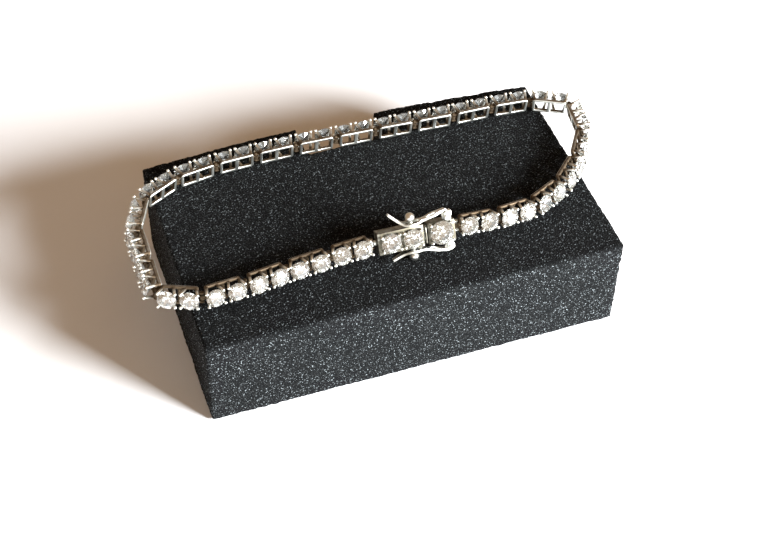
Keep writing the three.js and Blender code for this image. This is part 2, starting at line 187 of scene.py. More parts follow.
def finish_with(piece, kind, name, **settings):
    """Adds a modifier with its settings and applies it."""
    modifier = piece.modifiers.new(name, kind)
    for key, value in settings.items():
        setattr(modifier, key, value)
    fresh()
    piece.select_set(True)
    bpy.context.view_layer.objects.active = piece
    bpy.ops.object.modifier_apply(modifier=name)
    return piece


def soften(piece, width, segments=2, angle=35):
    """Rounds the sharp edges and shades the rest smooth."""
    finish_with(piece, "BEVEL", "soft edges", width=width, segments=segments,
                limit_method="ANGLE", angle_limit=math.radians(angle))
    fresh()
    piece.select_set(True)
    bpy.context.view_layer.objects.active = piece
    bpy.ops.object.shade_smooth_by_angle(angle=math.radians(45))
    return piece


def cut_away(piece, cutter):
    finish_with(piece, "BOOLEAN", "cut", operation="DIFFERENCE", solver="EXACT", object=cutter)
    bpy.data.objects.remove(cutter)
    return piece


def another(piece, name):
    """A copy with a mesh of its own."""
    twin = piece.copy()
    twin.data = piece.data.copy()
    twin.name = name
    twin.data.name = name
    bpy.context.scene.collection.objects.link(twin)
    return twin


def record_share(piece, name, share_at):
    """Writes a share from 0 to 1 at each corner, for the piece's finish to read."""
    layer = piece.data.attributes.new(name, "FLOAT", "POINT")
    shares = [min(max(share_at(v.co), 0.0), 1.0) for v in piece.data.vertices]
    layer.data.foreach_set("value", shares)


def record_tarnish_and_shade(piece, tarnish_and_shade_at):
    """How deep in the setting each corner lies, from 0 where it is rubbed bright to 1; the brown it brings
    is partly tarnish and partly painted shade.
    """
    record_share(piece, "tarnish_and_shade_share", tarnish_and_shade_at)


# ---- where each link and the clasp stand ----------------------------------------------------


def middle_of(node):
    low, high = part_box(node)
    return (low + high) / 2


def setting_axes(node, culet, next_node):
    """The matrix that sets a piece drawn in millimetres where a pair of stones stands.

    The pair is longest along the chain and flattest along the stones' own axes, and its
    widest part lies nearer to the faces than to the culets.
    """
    corners = {tuple(round(c, 7) for c in v.co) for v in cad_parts[node].data.vertices}
    points = np.array(sorted(corners))
    middle = points.mean(axis=0)
    axes = np.linalg.eigh(np.cov((points - middle).T))[1]
    along = Vector(axes[:, 2])
    out = Vector(axes[:, 0])
    if along.dot(middle_of(next_node) - Vector(middle)) < 0:
        along.negate()
    heights = (points - middle) @ np.array(out)
    if heights.max() > -heights.min():
        out.negate()
        heights = -heights
    origin = Vector(middle) + out * (float(heights.min()) - culet * MM)
    across = along.cross(out)
    axes_mm = Matrix((along * MM, out * MM, across * MM)).transposed().to_4x4()
    return Matrix.Translation(origin) @ axes_mm


def link_name(number):
    return f"{number:02d}"


def link_axes(number):
    following = f"stone_pair_{link_name(number + 1)}" if number < LINKS else "clasp_end_stone"
    return setting_axes(f"stone_pair_{link_name(number)}", LINK_STONE["culet"], following)


def clasp_axes():
    """The clasp's own axes start where its two halves meet, left of the box's two stones."""
    box_middle = (BOX_STONES[0]["x"] + BOX_STONES[1]["x"]) / 2
    pair = setting_axes("clasp_box_stones", BOX_CULET, "stone_pair_01")
    return pair @ Matrix.Translation((-box_middle, 0, 0))


def set_in_place(piece, axes):
    piece.data.transform(axes)
    piece.data.update()


# ---- finishes ---------------------------------------------------------------------------------


def new_group(name, inputs, outputs):
    """An empty shader node group with named sockets, and its two end nodes."""
    group = bpy.data.node_groups.new(name, "ShaderNodeTree")
    for label, kind, value in inputs:
        socket = group.interface.new_socket(name=label, in_out="INPUT", socket_type=kind)
        socket.default_value = value
    for label, kind in outputs:
        group.interface.new_socket(name=label, in_out="OUTPUT", socket_type=kind)
    given = group.nodes.new("NodeGroupInput")
    wanted = group.nodes.new("NodeGroupOutput")
    return group, given, wanted


def node(tree, kind, label, **settings):
    made = tree.nodes.new(kind)
    made.label = label
    for key, value in settings.items():
        setattr(made, key, value)
    return made


def grain(tree, label, scale, detail, roughness=0.5):
    """Noise in the frame's own metres, at so many cells a metre."""
    places = node(tree, "ShaderNodeTexCoord", f"{label} places")
    cells = node(tree, "ShaderNodeTexNoise", label)
    cells.inputs["Scale"].default_value = scale
    cells.inputs["Detail"].default_value = detail
    cells.inputs["Roughness"].default_value = roughness
    tree.links.new(places.outputs["Object"], cells.inputs["Vector"])
    return cells


def ramp(tree, label, source, low, high, to_low=0.0, to_high=1.0):
    """A smooth step from one value of the source to another."""
    step = node(tree, "ShaderNodeMapRange", label, interpolation_type="SMOOTHSTEP")
    step.inputs["From Min"].default_value = low
    step.inputs["From Max"].default_value = high
    step.inputs["To Min"].default_value = to_low
    step.inputs["To Max"].default_value = to_high
    tree.links.new(source, step.inputs["Value"])
    return step.outputs["Result"]


def arithmetic(tree, label, operation, first, second):
    """One sum of two sockets, or of a socket and a number."""
    sum_node = node(tree, "ShaderNodeMath", label, operation=operation)
    for socket, value in zip(sum_node.inputs, (first, second)):
        if isinstance(value, (int, float)):
            socket.default_value = value
        else:
            tree.links.new(value, socket)
    return sum_node.outputs[0]


def blend_colours(tree, label, share, first, second):
    """Two colours, each a socket or four numbers, mixed by a mask."""
    mix = node(tree, "ShaderNodeMix", label, data_type="RGBA")
    tree.links.new(share, mix.inputs[0])
    for socket, value in ((mix.inputs[6], first), (mix.inputs[7], second)):
        if isinstance(value, tuple):
            socket.default_value = value
        else:
            tree.links.new(value, socket)
    return mix.outputs[2]


def handling_marks():
    """Fine scratches and soft smears that every hard surface here carries."""
    group, given, wanted = new_group(
        "handling marks",
        [("Smear Scale", "NodeSocketFloat", 300.0), ("Scratch Scale", "NodeSocketFloat", 5000.0)],
        [("Smear", "NodeSocketFloat"), ("Scratch", "NodeSocketFloat")])
    smear = grain(group, "smear", 300, 3)
    scratch = grain(group, "scratch", 5000, 2, 0.7)
    scratch.inputs["Distortion"].default_value = 2.5
    group.links.new(given.outputs["Smear Scale"], smear.inputs["Scale"])
    group.links.new(given.outputs["Scratch Scale"], scratch.inputs["Scale"])
    group.links.new(ramp(group, "smear mask", smear.outputs["Fac"], 0.42, 0.62), wanted.inputs["Smear"])
    group.links.new(scratch.outputs["Fac"], wanted.inputs["Scratch"])
    return group


def silver_tarnish_and_shade():
    """Silver that is bright where it is rubbed and brown where a setting keeps it from touch; the brown is
    partly tarnish and partly painted shade in the recesses.
    """
    group, given, wanted = new_group(
        "silver tarnish and painted shade",
        [("Depth", "NodeSocketFloat", 0.0), ("Bright", "NodeSocketColor", (0.9, 0.88, 0.85, 1)),
         ("Brown", "NodeSocketColor", (0.3, 0.2, 0.14, 1)), ("Reach", "NodeSocketFloat", 1.0)],
        [("Color", "NodeSocketColor"), ("Mask", "NodeSocketFloat")])
    patches = grain(group, "patches", 700, 4, 0.6)
    reach = arithmetic(group, "depth by reach", "MULTIPLY",
                       given.outputs["Depth"], given.outputs["Reach"])
    edge = arithmetic(group, "patchy edge", "MULTIPLY_ADD", patches.outputs["Fac"], 0.7)
    group.links.new(reach, edge.node.inputs[2])
    mask = ramp(group, "tarnish and painted shade mask", edge, 0.45, 1.15)
    colour = blend_colours(group, "bright to brown", mask,
                           given.outputs["Bright"], given.outputs["Brown"])
    group.links.new(colour, wanted.inputs["Color"])
    group.links.new(mask, wanted.inputs["Mask"])
    return group


def open_cells():
    """Torn open cells of foam: pits painted near-black as shade in the cell holes, grey struts, and a few
    struts painted pale as glints, a painted highlight.
    """
    group, given, wanted = new_group(
        "open cells",
        [("Cells a Metre", "NodeSocketFloat", 2600.0),
         ("Painted Pit Shade", "NodeSocketColor", (0.003, 0.0035, 0.004, 1)),
         ("Strut", "NodeSocketColor", (0.019, 0.021, 0.0215, 1)),
         ("Painted Glint", "NodeSocketColor", (0.34, 0.385, 0.405, 1))],
        [("Color", "NodeSocketColor"), ("Roughness", "NodeSocketFloat"), ("Height", "NodeSocketFloat")])
    places = node(group, "ShaderNodeTexCoord", "cell places")
    cells = node(group, "ShaderNodeTexVoronoi", "cells", feature="DISTANCE_TO_EDGE")
    group.links.new(places.outputs["Object"], cells.inputs["Vector"])
    group.links.new(given.outputs["Cells a Metre"], cells.inputs["Scale"])
    strut = ramp(group, "struts", cells.outputs["Distance"], 0.02, 0.2, 1.0, 0.0)
    torn = ramp(group, "torn struts", grain(group, "tears", 3500, 2).outputs["Fac"], 0.38, 0.62)
    shown = arithmetic(group, "struts left", "MULTIPLY", strut, torn)
    # Painted highlight: a few struts are painted pale to stand for glints.
    painted_glints = ramp(group, "painted_glints", grain(group, "glint spots", 4600, 0).outputs["Fac"], 0.58, 0.74)
    painted_glinting = arithmetic(group, "glints on struts", "MULTIPLY", painted_glints, shown)
    wear = ramp(group, "dusty patches", grain(group, "dust", 120, 3).outputs["Fac"], 0.35, 0.7, 0.55, 1.0)
    struts_seen = arithmetic(group, "dusted struts", "MULTIPLY", shown, wear)
    # Painted shade: the pits are near-black to stand for shade in the open cells.
    body = blend_colours(group, "pit to strut", struts_seen, given.outputs["Painted Pit Shade"], given.outputs["Strut"])
    colour = blend_colours(group, "strut to glint", painted_glinting, body, given.outputs["Painted Glint"])
    group.links.new(colour, wanted.inputs["Color"])
    group.links.new(ramp(group, "dull pits", shown, 0.0, 1.0, 0.95, 0.5), wanted.inputs["Roughness"])
    group.links.new(shown, wanted.inputs["Height"])
    return group


def new_material(name):
    """A material with one Principled shader, its tree and that shader's inputs."""
    material = bpy.data.materials.new(name)
    material.use_nodes = True
    tree = material.node_tree
    shader = tree.nodes["Principled BSDF"]
    return material, tree, shader.inputs


def placed(tree, group, label, **values):
    made = node(tree, "ShaderNodeGroup", label, node_tree=group)
    for key, value in values.items():
        made.inputs[key.replace("_", " ")].default_value = value
    return made


def raise_surface(tree, shader, height, distance, strength):
    bump = node(tree, "ShaderNodeBump", "relief")
    bump.inputs["Distance"].default_value = distance
    bump.inputs["Strength"].default_value = strength
    tree.links.new(height, bump.inputs["Height"])
    tree.links.new(bump.outputs["Normal"], shader["Normal"])


def silver_finish(name, bright, brown, polish, reach):
    material, tree, shader = new_material(name)
    shader["Metallic"].default_value = 1.0
    # The brown read from this share is partly tarnish and partly painted shade.
    depth = node(tree, "ShaderNodeAttribute", "tarnish and painted shade share", attribute_name="tarnish_and_shade_share")
    aged_and_shaded = placed(tree, GROUPS["tarnish_and_shade"], "tarnish_and_shade", Bright=bright, Brown=brown, Reach=reach)
    marks = placed(tree, GROUPS["marks"], "marks", Smear_Scale=420.0, Scratch_Scale=6500.0)
    tree.links.new(depth.outputs["Fac"], aged_and_shaded.inputs["Depth"])
    tree.links.new(aged_and_shaded.outputs["Color"], shader["Base Color"])
    dull = arithmetic(tree, "dull where brown", "MULTIPLY_ADD", aged_and_shaded.outputs["Mask"], 0.25)
    dull.node.inputs[2].default_value = polish
    smeared = arithmetic(tree, "smeared", "MULTIPLY_ADD", marks.outputs["Smear"], 0.08)
    tree.links.new(dull, smeared.node.inputs[2])
    tree.links.new(smeared, shader["Roughness"])
    raise_surface(tree, shader, marks.outputs["Scratch"], 0.00001, 0.06)
    return material


def stone_finish():
    material, tree, shader = new_material("clear stone")
    shader["Transmission Weight"].default_value = 0.94
    shader["IOR"].default_value = 2.15
    marks = placed(tree, GROUPS["marks"], "finger film", Smear_Scale=650.0, Scratch_Scale=3000.0)
    tint = blend_colours(tree, "film tint", marks.outputs["Smear"], (0.97, 1, 1, 1), (0.9, 0.91, 0.84, 1))
    tree.links.new(tint, shader["Base Color"])
    tree.links.new(ramp(tree, "film", marks.outputs["Smear"], 0, 1, 0.0, 0.05), shader["Roughness"])
    return material


def foam_finish():
    material, tree, shader = new_material("charcoal foam")
    shader["Specular IOR Level"].default_value = 0.12
    cells = placed(tree, GROUPS["cells"], "cells")
    # Painted shade: the top skin of the foam is painted up to half way to black, standing for the dimmer
    # light on its top face.
    top_shade = node(tree, "ShaderNodeAttribute", "painted top shade", attribute_name="painted_top_shade")
    darker = arithmetic(tree, "darker top, painted shade", "MULTIPLY", top_shade.outputs["Fac"], 0.5)
    colour = blend_colours(tree, "foam with painted top shade", darker, cells.outputs["Color"], (0.0, 0.0, 0.0, 1))
    tree.links.new(colour, shader["Base Color"])
    tree.links.new(cells.outputs["Roughness"], shader["Roughness"])
    raise_surface(tree, shader, cells.outputs["Height"], 0.00025, 0.8)
    return material


def table_finish():
    material, tree, shader = new_material("pale table")
    marks = placed(tree, GROUPS["marks"], "table marks", Smear_Scale=14.0, Scratch_Scale=900.0)
    tint = blend_colours(tree, "table tint", marks.outputs["Smear"],
                         (0.93, 0.93, 0.94, 1), (0.9, 0.9, 0.915, 1))
    tree.links.new(tint, shader["Base Color"])
    tree.links.new(ramp(tree, "table sheen", marks.outputs["Smear"], 0, 1, 0.45, 0.6), shader["Roughness"])
    return material


GROUPS = {"marks": handling_marks(), "tarnish_and_shade": silver_tarnish_and_shade(), "cells": open_cells()}
# The brown colours stand partly for tarnish and partly for painted shade in the settings.
BRIGHT_SILVER = (0.94, 0.955, 0.9, 1)
BROWN_SILVER = (0.12, 0.108, 0.08, 1)
LEG_BROWN = (0.13, 0.095, 0.062, 1)
LINK_SILVER = silver_finish("link silver", BRIGHT_SILVER, LEG_BROWN, 0.36, 1.15)
CLASP_SILVER = silver_finish("clasp silver", BRIGHT_SILVER, BROWN_SILVER, 0.28, 0.8)
CATCH_SILVER = silver_finish("catch silver", (0.9, 0.9, 0.84, 1), (0.24, 0.21, 0.16, 1), 0.26, 0.8)
CLEAR_STONE = stone_finish()
CHARCOAL_FOAM = foam_finish()
PALE_TABLE = table_finish()

# ---- stones ------------------------------------------------------------------------------------

CROWN_ANGLE = 32.5
STAR_ANGLE = 20.7
UPPER_GIRDLE_ANGLE = 39.5
PAVILION_ANGLE = 40.2
LOWER_GIRDLE_ANGLE = 41.6
TABLE_SHARE = 0.58
GIRDLE_BAND = 0.07


def grind(piece, turn, slope, reach, height, side):
    """Grinds one flat facet, whose plane meets the given reach from the axis at a height."""
    lean = math.radians(slope)
    heading = math.radians(turn)
    normal = Vector((math.sin(lean) * math.cos(heading), side * math.cos(lean),
                     math.sin(lean) * math.sin(heading)))
    point = (reach * math.cos(heading), height, reach * math.sin(heading))
    bpy.ops.mesh.select_all(action="SELECT")
    bpy.ops.mesh.bisect(plane_co=point, plane_no=normal, use_fill=True, clear_outer=True,
                        threshold=1e-6)


def cut_brilliant():
    """A round brilliant one unit in radius, its girdle's lower edge at y = 0, facing +y."""
    fresh()
    bpy.ops.mesh.primitive_cylinder_add(vertices=32, radius=1, depth=3,
                                        rotation=(math.radians(90), 0, 0))
    stone = settle("brilliant")
    table = GIRDLE_BAND + (1 - TABLE_SHARE) * math.tan(math.radians(CROWN_ANGLE))
    star_reach = TABLE_SHARE * math.cos(math.radians(22.5))
    half_reach = math.cos(math.radians(11.25))
    open_mesh(stone)
    for k in range(8):
        grind(stone, 45 * k, CROWN_ANGLE, 1, GIRDLE_BAND, 1)
        grind(stone, 45 * k, PAVILION_ANGLE, 1, 0, -1)
    for k in range(16):
        grind(stone, 22.5 * k + 11.25, UPPER_GIRDLE_ANGLE, half_reach, GIRDLE_BAND, 1)
        grind(stone, 22.5 * k + 11.25, LOWER_GIRDLE_ANGLE, half_reach, 0, -1)
    for k in range(8):
        grind(stone, 45 * k + 22.5, STAR_ANGLE, star_reach, table, 1)
    grind(stone, 0, 0, 0, table, 1)
    bpy.ops.mesh.select_all(action="SELECT")
    bpy.ops.mesh.normals_make_consistent(inside=False)
    close_mesh()
    return stone


def seat_stones(name, master, stones, girdle, rng):
    """Copies the brilliant into each seat, each turned and tipped a little of its own."""
    seated = []
    for stone in stones:
        twin = another(master, "seated stone")
        turn = Matrix.Rotation(rng.uniform(0, math.tau), 4, "Y")
        tip = Matrix.Rotation(math.radians(rng.uniform(-2, 2)), 4, "X")
        lean = Matrix.Rotation(math.radians(rng.uniform(-2, 2)), 4, "Z")
        seat = Matrix.Translation((stone["x"], girdle, 0))
        twin.data.transform(seat @ tip @ lean @ turn @ Matrix.Scale(stone["radius"], 4))
        seated.append(twin)
    return join(name, seated)


# ---- a link ---------------------------------------------------------------------------------------


def link_rail():
    """The flat frame on the skin side: a plate with two windows, drawn flat and thickened."""
    fresh()
    bpy.ops.mesh.primitive_plane_add(size=2, location=(0, RAIL["bottom"], 0),
                                     rotation=(math.radians(90), 0, 0))
    bpy.context.object.scale = (RAIL["half_length"], RAIL["half_width"], 1)
    rail = settle("rail")
    window_end = RAIL["half_length"] - RAIL["wall"]
    window_half = RAIL["half_width"] - RAIL["wall"]
    open_mesh(rail)
    for place in (-window_end, -RAIL["bar_half"], RAIL["bar_half"], window_end):
        slice_at(0, place)
    for place in (-window_half, window_half):
        slice_at(2, place)
    pick(rail, lambda c: RAIL["bar_half"] < abs(c.x) < window_end and abs(c.z) < window_half)
    bpy.ops.mesh.delete(type="FACE")
    pick(rail, lambda c: abs(c.x) > RAIL["half_length"] - 0.01 and abs(c.z) > RAIL["half_width"] - 0.01,
         "VERT")
    bpy.ops.mesh.bevel(offset=RAIL["corner"], segments=3, affect="VERTICES")
    bpy.ops.mesh.select_all(action="SELECT")
    bpy.ops.mesh.extrude_region_move(
        TRANSFORM_OT_translate={"value": (0, RAIL["top"] - RAIL["bottom"], 0)})
    bpy.ops.mesh.select_all(action="SELECT")
    bpy.ops.mesh.normals_make_consistent(inside=False)
    close_mesh()
    return soften(rail, 0.15, 3)


def claw_leg(foot, tip):
    """A flat bar that leans from the rail to a bead, wider along the chain than across it."""
    fresh()
    foot = Vector(foot)
    span = Vector(tip) - foot
    turn = Vector((0, 1, 0)).rotation_difference(span).to_euler()
    bpy.ops.mesh.primitive_cube_add(size=1, location=foot + span / 2, rotation=turn)
    bpy.context.object.scale = (CLAW["width"], span.length, CLAW["thickness"])
    leg = settle("leg")
    open_mesh(leg)
    pick(leg, lambda c: c.y > Vector(tip).y - 0.2)
    bpy.ops.transform.resize(value=(0.72, 1, 0.9), center_override=tip)
    close_mesh()
    return soften(leg, 0.07, 1)


def claws_round(x):
    """Four legs spread from the rail to the stone's corners, each with a bead pressed on it."""
    pieces = []
    for end in (-1, 1):
        for side in (-1, 1):
            foot = (x + end * CLAW["foot_x"], RAIL["top"] - 0.25, side * CLAW["foot_z"])
            tip = (x + end * BEAD["x"], BEAD["y"], side * BEAD["z"])
            pieces.append(claw_leg(foot, tip))
            bead = add_ball("bead", tip, BEAD["radius"], 12, 8)
            bpy.ops.object.shade_smooth()
            pieces.append(bead)
    return pieces


def hinge_barrel(end_x, body_x):
    """The barrel that turns on the next piece's pin, with the arm that carries it."""
    half = BARREL["half"]
    arm = add_block("arm", (body_x - SUNK, -BARREL["arm"], -half),
                    (end_x - PIN["radius"] - 0.05, BARREL["arm"], half))
    barrel = add_rod("barrel", (end_x, 0, -half), (end_x, 0, half), BARREL["radius"], BARREL["radius"], 20)
    open_mesh(barrel)
    pick(barrel, lambda c: abs(c.z) > half - 0.01)
    bpy.ops.mesh.inset(thickness=BARREL["radius"] - PIN["radius"] - 0.06, use_individual=True)
    bpy.ops.transform.resize(value=(1, 1, 0.6), center_override=(end_x, 0, 0))
    close_mesh()
    return [soften(arm, 0.05, 1), soften(barrel, 0.05, 1)]


def hinge_ears(end_x, body_x):
    """Two round-nosed ears with the pin through them."""
    pieces = []
    for side in (-1, 1):
        z0, z1 = sorted((side * EAR["inside"], side * EAR["outside"]))
        plate = add_block("ear plate", (end_x, -EAR["radius"], z0), (body_x + SUNK, EAR["radius"], z1))
        nose = add_rod("ear nose", (end_x, 0, z0), (end_x, 0, z1), EAR["radius"], EAR["radius"], 20)
        pieces += [soften(plate, 0.04, 1), soften(nose, 0.04, 1)]
    pin = add_rod("pin", (end_x, 0, -PIN["half"]), (end_x, 0, PIN["half"]),
                  PIN["radius"], PIN["radius"], 14)
    pieces.append(soften(pin, 0.05, 2))
    return pieces


def draw_link():
    pieces = [link_rail()]
    pieces += claws_round(-STONE_X)
    pieces += claws_round(STONE_X)
    pieces += hinge_barrel(PITCH / 2, RAIL["half_length"])
    pieces += hinge_ears(-PITCH / 2, -RAIL["half_length"])
    link = join("link", pieces)
    record_tarnish_and_shade(link, link_tarnish_and_shade)
    return link


def link_tarnish_and_shade(place):
    """Rail edges and beads are rubbed bright, and the legs between them stay brown, partly tarnish and
    partly painted shade.
    """
    if place.y > BEAD["y"] - 0.22:
        return 0.0
    if place.y > RAIL["top"] + 0.05:
        return 1.0
    if place.y < RAIL["bottom"] + 0.12:
        return 0.0
    return 0.6 if abs(place.z) > RAIL["half_width"] - 0.05 else 0.9


# ---- clasp ----------------------------------------------------------------------------------------


def cut_seat(body, stone):
    """Sinks a round seat that follows the stone's own slope, with a rim just wide of it."""
    radius = stone["radius"] + 0.08
    depth = radius * math.tan(math.radians(PAVILION_ANGLE))
    cone = add_rod("seat", (stone["x"], CLASP_GIRDLE - depth, 0), (stone["x"], CLASP_GIRDLE, 0),
                   0.02, radius, 40)
    open_mesh(cone)
    pick(cone, lambda c: c.y > CLASP_GIRDLE - 0.01)
    bpy.ops.mesh.extrude_region_move(TRANSFORM_OT_translate={"value": (0, 1, 0)})
    close_mesh()
    return cut_away(body, cone)


def clasp_body(name, part, stones):
    """A walled block with a sunk panel along each side wall and a seat for each stone."""
    half = part["half_width"]
    body = add_block(name, (part["left"], part["bottom"], -half), (part["right"], part["top"], half))
    open_mesh(body)
    pick(body, lambda c: abs(c.z) > half - 0.01)
    bpy.ops.mesh.inset(thickness=0.28, use_individual=True)
    bpy.ops.transform.resize(value=(1, 1, 1 - 0.09 / half), center_override=(0, 0, 0))
    close_mesh()
    for stone in stones:
        cut_seat(body, stone)
    return body


def corner_beads(stones):
    """Short claws stand at the four corners of each seat, with beads pressed on the girdle."""
    pieces = []
    for stone in stones:
        reach = stone["radius"] * 0.82 + 0.12
        for end in (-1, 1):
            for side in (-1, 1):
                x = stone["x"] + end * reach
                z = side * reach * 0.84
                pieces.append(add_rod("claw", (x, 1.0, z), (x, 1.9, z), 0.24, 0.2, 10))
                bpy.ops.object.shade_smooth_by_angle(angle=math.radians(45))
                pieces.append(add_ball("bead", (x, 1.93, z), 0.25, 12, 8))
                bpy.ops.object.shade_smooth()
    return pieces


def ball_peg(side):
    """The ball that a catch snaps over, on a waisted neck."""
    middle = (PEG["x"], PIVOT["y"], side * PEG["z"])
    ball = add_ball("ball", middle, PEG["ball"], 28, 18)
    wall = side * (BOX["half_width"] - 0.2)
    open_mesh(ball)
    pick(ball, lambda c: side * (c.z - middle[2]) < -PEG["ball"] * 0.85)
    into_wall = wall - middle[2] + side * PEG["waist"]
    bpy.ops.mesh.extrude_region_move(TRANSFORM_OT_translate={"value": (0, 0, into_wall)})
    bpy.ops.transform.resize(value=(1.25, 1.25, 1), center_override=(PEG["x"], PIVOT["y"], wall))
    close_mesh()
    fresh()
    ball.select_set(True)
    bpy.context.view_layer.objects.active = ball
    bpy.ops.object.shade_smooth_by_angle(angle=math.radians(50))
    return ball


def draw_box():
    box = clasp_body("clasp box", BOX, BOX_STONES)
    slot = add_block("slot", (BOX["left"] - 1, -SLOT["half_height"], -SLOT["half_width"]),
                     (BOX["left"] + SLOT["depth"], SLOT["half_height"], SLOT["half_width"]))
    cut_away(box, slot)
    pieces = [soften(box, 0.07)]
    pieces += corner_beads(BOX_STONES)
    pieces += [ball_peg(1), ball_peg(-1)]
    pieces += hinge_barrel(CLASP_LENGTH / 2, BOX["right"])
    whole = join("clasp_box_metal", pieces)
    record_tarnish_and_shade(whole, clasp_tarnish_and_shade)
    return whole


def catch_ears(side):
    """Two ears on a side wall of the end piece and the pin that the catch's curl turns on."""
    pieces = []
    wall = side * (END["half_width"] - 0.3)
    reach = side * PIVOT["z"]
    for low in (PIVOT["y"] - HINGE_EAR["outside"], PIVOT["y"] + HINGE_EAR["inside"]):
        high = low + HINGE_EAR["outside"] - HINGE_EAR["inside"]
        z0, z1 = sorted((wall, reach))
        radius = HINGE_EAR["radius"]
        plate = add_block("catch ear", (PIVOT["x"] - radius, low, z0), (PIVOT["x"] + radius, high, z1))
        nose = add_rod("catch ear nose", (PIVOT["x"], low, reach), (PIVOT["x"], high, reach),
                       radius, radius, 24)
        pieces += [soften(plate, 0.04, 1), soften(nose, 0.05, 2)]
    pin = add_rod("catch pin", (PIVOT["x"], PIVOT["y"] - CATCH_PIN["below"], reach),
                  (PIVOT["x"], PIVOT["y"] + CATCH_PIN["above"], reach), PIVOT["pin"], PIVOT["pin"], 18)
    pieces.append(soften(pin, 0.09, 3))
    return pieces


def draw_end():
    end = clasp_body("tongue end", END, END_STONES)
    tongue = add_block("tongue", (END["right"] - 0.1, -TONGUE["half_height"], -TONGUE["half_width"]),
                       (TONGUE["tip"], TONGUE["half_height"], TONGUE["half_width"]))
    tab = add_block("tab", (TAB["x"] - TAB["half"], -TONGUE["half_height"], -TAB["half_width"]),
                    (TAB["x"] + TAB["half"], TAB["top"], TAB["half_width"]))
    pieces = [soften(end, 0.07), soften(tongue, 0.04, 1), soften(tab, 0.05)]
    pieces += corner_beads(END_STONES)
    pieces += catch_ears(1) + catch_ears(-1)
    pieces += hinge_ears(-CLASP_LENGTH / 2, END["left"])
    whole = join("tongue_end_metal", pieces)
    record_tarnish_and_shade(whole, clasp_tarnish_and_shade)
    return whole


def clasp_tarnish_and_shade(place):
    """Rims and walls are brown, partly tarnish and partly painted shade, and the beads, the seats, the
    balls and the pins are bright.
    """
    if place.y > 1.6 or abs(place.z) > 1.9:
        return 0.0
    if place.y > BOX["top"] - 0.2:
        return 0.95
    return 0.8 if abs(place.z) > 1.4 else 0.1


# ---- safety catches -----------------------------------------------------------------------------

# Along the catch: its half width, the half width of its opening, and its height off the axis.
CATCH_STATIONS = [
    {"x": -5.05, "half": 0.44, "eye": 0.12, "z": 3.225},
    {"x": -4.5, "half": 0.46, "eye": 0.12, "z": 3.12},
    {"x": -3.9, "half": 0.54, "eye": 0.14, "z": 2.97},
    {"x": -3.55, "half": 0.68, "eye": 0.2, "z": 2.88},
    {"x": -3.2, "half": 0.76, "eye": 0.38, "z": 2.8},
    {"x": -2.7, "half": 0.76, "eye": 0.42, "z": 2.66},
    {"x": -2.25, "half": 0.68, "eye": 0.34, "z": 2.54},
    {"x": -1.95, "half": 0.58, "eye": 0.16, "z": 2.46},
    {"x": -1.35, "half": 0.52, "eye": 0.14, "z": 2.32},
    {"x": -0.85, "half": 0.74, "eye": 0.26, "z": 2.22},
    {"x": -0.45, "half": 1.0, "eye": 0.55, "z": 2.16},
    {"x": -0.1, "half": 1.14, "eye": 0.78, "z": 2.12},
    {"x": 0.4, "half": 1.21, "eye": 0.9, "z": 2.1},
    {"x": 0.9, "half": 1.2, "eye": 0.86, "z": 2.1},
    {"x": 1.3, "half": 1.08, "eye": 0.66, "z": 2.13},
    {"x": 1.65, "half": 0.9, "eye": 0.24, "z": 2.22},
]
# The thumb tail goes on from there, as shares of the way to its tip.
TAIL_STATIONS = [
    {"share": 0.15, "half": 0.72, "eye": 0.18},
    {"share": 0.45, "half": 0.5, "eye": 0.14},
    {"share": 0.8, "half": 0.44, "eye": 0.12},
    {"share": 1.0, "half": 0.38, "eye": 0.1},
]
TAIL_TIP_X = 3.9
EYE_SPANS = [(-3.5, -2.0), (-0.8, 1.6)]
STRIP = 0.36


